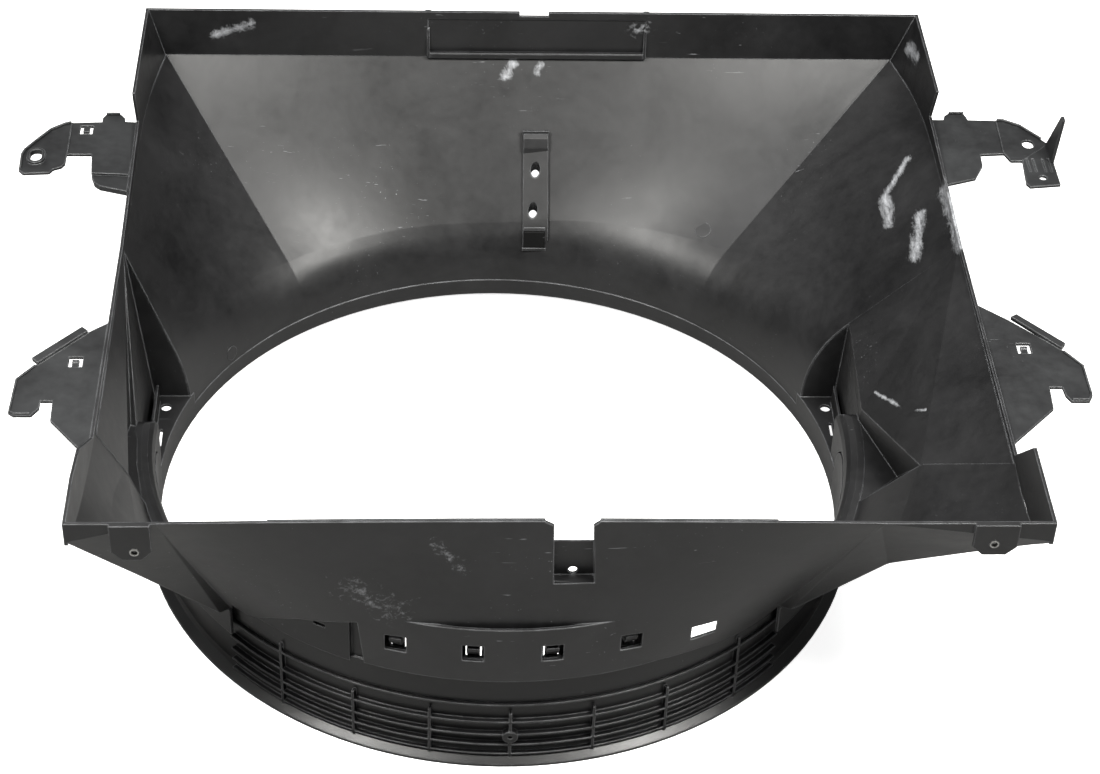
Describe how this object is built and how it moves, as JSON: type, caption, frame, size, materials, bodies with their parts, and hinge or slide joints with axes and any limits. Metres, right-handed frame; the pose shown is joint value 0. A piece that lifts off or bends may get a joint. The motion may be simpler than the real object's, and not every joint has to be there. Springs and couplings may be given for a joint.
{
  "type": "radiator fan shroud",
  "caption": "Square radiator shroud that funnels down to a round fan ring, with side mounting brackets and a clip-in near half of the ring.",
  "frame": {"origin": "centre of the fan ring on the plane its lip stands on", "axes": "+Z along the fan's axis from the ring towards the radiator rim, -Y towards the clip-in half of the ring, +X to the side with the line clip"},
  "size_m": [1.057, 0.8134, 0.3003],
  "materials": {
    "shroud_plastic": "satin, lightly textured",
    "ring_plastic": "satin, scuffed",
    "bracket_plastic": "satin",
    "insert_steel": "plain"
  },
  "bodies": {
    "shroud": {"upper_shroud": "shroud_plastic", "lower_ring": "ring_plastic", "upper_left_bracket": "bracket_plastic", "upper_left_bolt_ear": "bracket_plastic", "upper_right_bracket": "bracket_plastic", "upper_right_bolt_ear": "bracket_plastic", "line_clip_pad": "bracket_plastic", "lower_left_bracket": "bracket_plastic", "lower_right_bracket": "bracket_plastic", "hose_strap": "shroud_plastic", "tab_inserts": "insert_steel"},
    "latch_tongue_1": {"latch_tongue_1": "ring_plastic"},
    "latch_tongue_2": {"latch_tongue_2": "ring_plastic"},
    "latch_tongue_3": {"latch_tongue_3": "ring_plastic"},
    "latch_tongue_4": {"latch_tongue_4": "ring_plastic"},
    "upper_left_lock_tongue": {"upper_left_lock_tongue": "bracket_plastic"},
    "lower_left_lock_tongue": {"lower_left_lock_tongue": "bracket_plastic"},
    "lower_right_lock_tongue": {"lower_right_lock_tongue": "bracket_plastic"},
    "line_clip_arm": {"line_clip_arm": "bracket_plastic"}
  },
  "joints": [
    {"name": "latch_1_flex", "type": "hinge", "parent": "shroud", "child": "latch_tongue_1", "pos_m": [-0.09629, -0.32347, 0.1295], "axis": [-0.9584, 0.2853, 0], "range_deg": [0, 12], "stiffness_Nm_per_rad": 0.3},
    {"name": "latch_2_flex", "type": "hinge", "parent": "shroud", "child": "latch_tongue_2", "pos_m": [-0.03112, -0.33606, 0.1295], "axis": [-0.9957, 0.0922, 0], "range_deg": [0, 12], "stiffness_Nm_per_rad": 0.3},
    {"name": "latch_3_flex", "type": "hinge", "parent": "shroud", "child": "latch_tongue_3", "pos_m": [0.03599, -0.33558, 0.1295], "axis": [-0.9943, -0.1066, 0], "range_deg": [0, 12], "stiffness_Nm_per_rad": 0.3},
    {"name": "latch_4_flex", "type": "hinge", "parent": "shroud", "child": "latch_tongue_4", "pos_m": [0.1031, -0.32137, 0.1295], "axis": [-0.9522, -0.3055, 0], "range_deg": [0, 12], "stiffness_Nm_per_rad": 0.3},
    {"name": "upper_left_lock_flex", "type": "hinge", "parent": "shroud", "child": "upper_left_lock_tongue", "pos_m": [-0.4225, 0.3127, 0.238], "axis": [1, 0, 0], "range_deg": [0, 10], "stiffness_Nm_per_rad": 0.1},
    {"name": "lower_left_lock_flex", "type": "hinge", "parent": "shroud", "child": "lower_left_lock_tongue", "pos_m": [-0.396, -0.0637, 0.227], "axis": [-1, 0, 0], "range_deg": [0, 10], "stiffness_Nm_per_rad": 0.1},
    {"name": "lower_right_lock_flex", "type": "hinge", "parent": "shroud", "child": "lower_right_lock_tongue", "pos_m": [0.49, -0.0457, 0.231], "axis": [-1, 0, 0], "range_deg": [0, 10], "stiffness_Nm_per_rad": 0.1},
    {"name": "line_clip_arm_flex", "type": "hinge", "parent": "shroud", "child": "line_clip_arm", "pos_m": [0.5715, 0.2725, 0.2403], "axis": [0, 1, 0], "range_deg": [0, 8], "stiffness_Nm_per_rad": 0.5}
  ]
}
